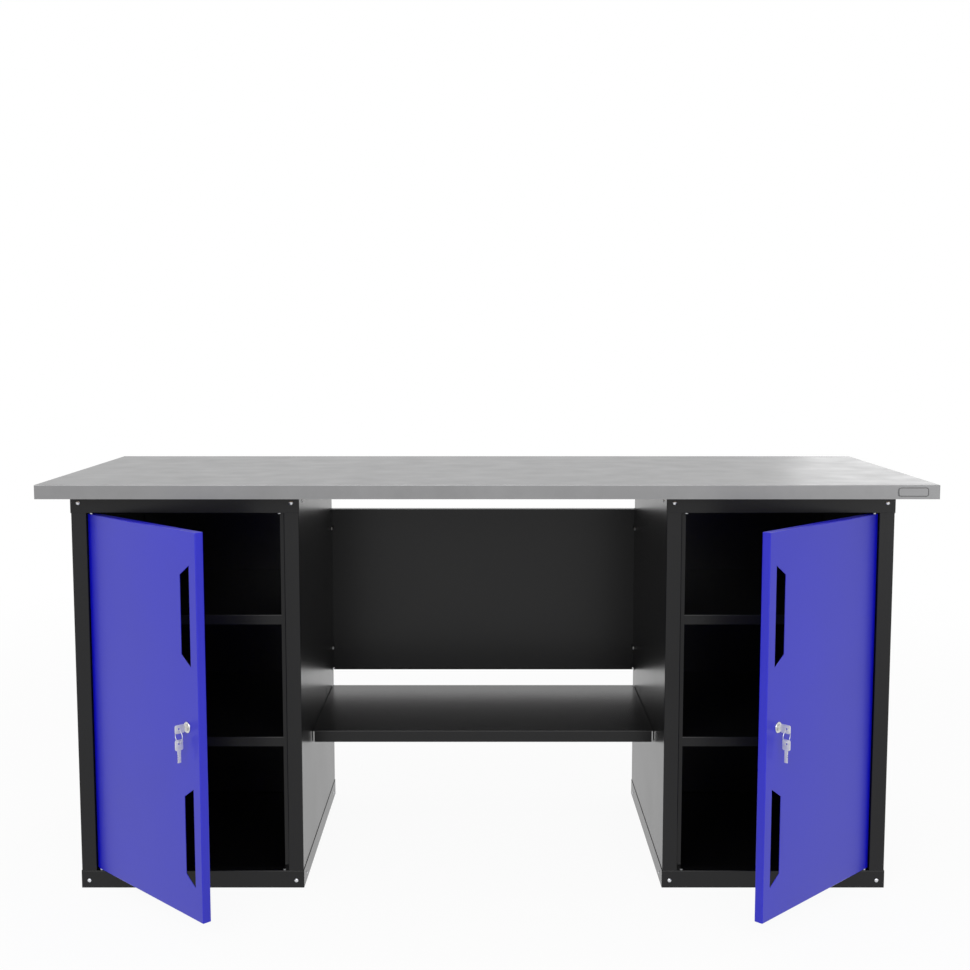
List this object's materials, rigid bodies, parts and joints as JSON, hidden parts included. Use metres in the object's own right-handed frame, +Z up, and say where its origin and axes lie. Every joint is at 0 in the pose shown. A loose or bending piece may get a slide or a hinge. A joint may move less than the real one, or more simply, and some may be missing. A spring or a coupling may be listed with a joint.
{
  "type": "double pedestal workbench",
  "caption": "Steel-clad workbench on two sheet-steel pedestal cabinets with hinged, locking doors, inner shelves, a rear panel and a shelf between the pedestals.",
  "frame": {"origin": "on the floor, midway across the worktop, midway between the open doors' front corners and the worktop's rear edge", "axes": "+X to the right along the worktop as one faces the bench, +Y to the rear, +Z up"},
  "size_m": [1.8, 0.8856, 0.862],
  "materials": {
    "steel_cover": "galvanised, faintly mottled, satin",
    "board": "pressed board, inside the cover",
    "black_paint": "near-black powder coat, semi-gloss",
    "blue_paint": "deep blue powder coat, satin",
    "zinc": "zinc plated",
    "chrome": "polished",
    "key_steel": "nickel-plated, slightly worn"
  },
  "bodies": {
    "bench": {"worktop_core": "board", "worktop_cover": "steel_cover", "modesty_panel": "black_paint", "cross_shelf": "black_paint", "left_top_frame": "black_paint", "left_base_frame": "black_paint", "left_outer_side_panel": "black_paint", "left_inner_side_panel": "black_paint", "left_back_panel": "black_paint", "left_upper_shelf": "black_paint", "left_lower_shelf": "black_paint", "left_top_plate": "black_paint", "left_upper_hinge_pin": "zinc", "left_lower_hinge_pin": "zinc", "left_upper_blanking_rivet": "zinc", "left_lower_blanking_rivet": "zinc", "left_top_inner_screw": "zinc", "left_top_outer_screw": "zinc", "left_base_inner_screw": "zinc", "left_base_outer_screw": "zinc", "left_worktop_front_screw": "zinc", "left_worktop_rear_screw": "zinc", "modesty_left_upper_screw": "zinc", "modesty_left_lower_screw": "zinc", "right_top_frame": "black_paint", "right_base_frame": "black_paint", "right_outer_side_panel": "black_paint", "right_inner_side_panel": "black_paint", "right_back_panel": "black_paint", "right_upper_shelf": "black_paint", "right_lower_shelf": "black_paint", "right_top_plate": "black_paint", "right_upper_hinge_pin": "zinc", "right_lower_hinge_pin": "zinc", "right_upper_blanking_rivet": "zinc", "right_lower_blanking_rivet": "zinc", "right_top_inner_screw": "zinc", "right_top_outer_screw": "zinc", "right_base_inner_screw": "zinc", "right_base_outer_screw": "zinc", "right_worktop_front_screw": "zinc", "right_worktop_rear_screw": "zinc", "modesty_right_upper_screw": "zinc", "modesty_right_lower_screw": "zinc"},
    "left_door": {"left_door": "blue_paint", "left_lock_body": "chrome", "left_lock_nut": "zinc"},
    "left_plug": {"left_lock_plug": "chrome", "left_lock_cam": "zinc"},
    "left_key": {"left_key": "key_steel"},
    "left_ring": {"left_key_ring": "zinc"},
    "left_spare": {"left_spare_key": "key_steel"},
    "right_door": {"right_door": "blue_paint", "right_lock_body": "chrome", "right_lock_nut": "zinc"},
    "right_plug": {"right_lock_plug": "chrome", "right_lock_cam": "zinc"},
    "right_key": {"right_key": "key_steel"},
    "right_ring": {"right_key_ring": "zinc"},
    "right_spare": {"right_spare_key": "key_steel"}
  },
  "joints": [
    {"name": "left_door_hinge", "type": "hinge", "parent": "bench", "child": "left_door", "pos_m": [-0.8117, -0.16096, 0.4173], "axis": [0, 0, -1], "range_deg": [-45.5, 64.5]},
    {"name": "left_lock_turn", "type": "hinge", "parent": "left_door", "child": "left_plug", "pos_m": [-0.56875, -0.41461, 0.4173], "axis": [-0.7133, -0.7009, 0], "range_deg": [0, 90]},
    {"name": "left_key_slide", "type": "slide", "parent": "left_plug", "child": "left_key", "axis": [-0.7133, -0.7009, 0], "range_m": [0, 0.03]},
    {"name": "left_ring_swing", "type": "hinge", "parent": "left_key", "child": "left_ring", "pos_m": [-0.58223, -0.42786, 0.4158], "axis": [-0.7009, 0.7133, 0], "range_deg": [-8, 80]},
    {"name": "left_spare_key_swing", "type": "hinge", "parent": "left_ring", "child": "left_spare", "pos_m": [-0.58223, -0.42786, 0.3908], "axis": [-0.7009, 0.7133, 0], "range_deg": [-5, 60]},
    {"name": "right_door_hinge", "type": "hinge", "parent": "bench", "child": "right_door", "pos_m": [0.7949, -0.16096, 0.4173], "axis": [0, 0, 1], "range_deg": [-45.5, 64.5]},
    {"name": "right_lock_turn", "type": "hinge", "parent": "right_door", "child": "right_plug", "pos_m": [0.55195, -0.41461, 0.4173], "axis": [-0.7133, 0.7009, 0], "range_deg": [0, 90]},
    {"name": "right_key_slide", "type": "slide", "parent": "right_plug", "child": "right_key", "axis": [0.7133, -0.7009, 0], "range_m": [0, 0.03]},
    {"name": "right_ring_swing", "type": "hinge", "parent": "right_key", "child": "right_ring", "pos_m": [0.56543, -0.42786, 0.4158], "axis": [-0.7009, -0.7133, 0], "range_deg": [-8, 80]},
    {"name": "right_spare_key_swing", "type": "hinge", "parent": "right_ring", "child": "right_spare", "pos_m": [0.56543, -0.42786, 0.3908], "axis": [-0.7009, -0.7133, 0], "range_deg": [-5, 60]}
  ]
}
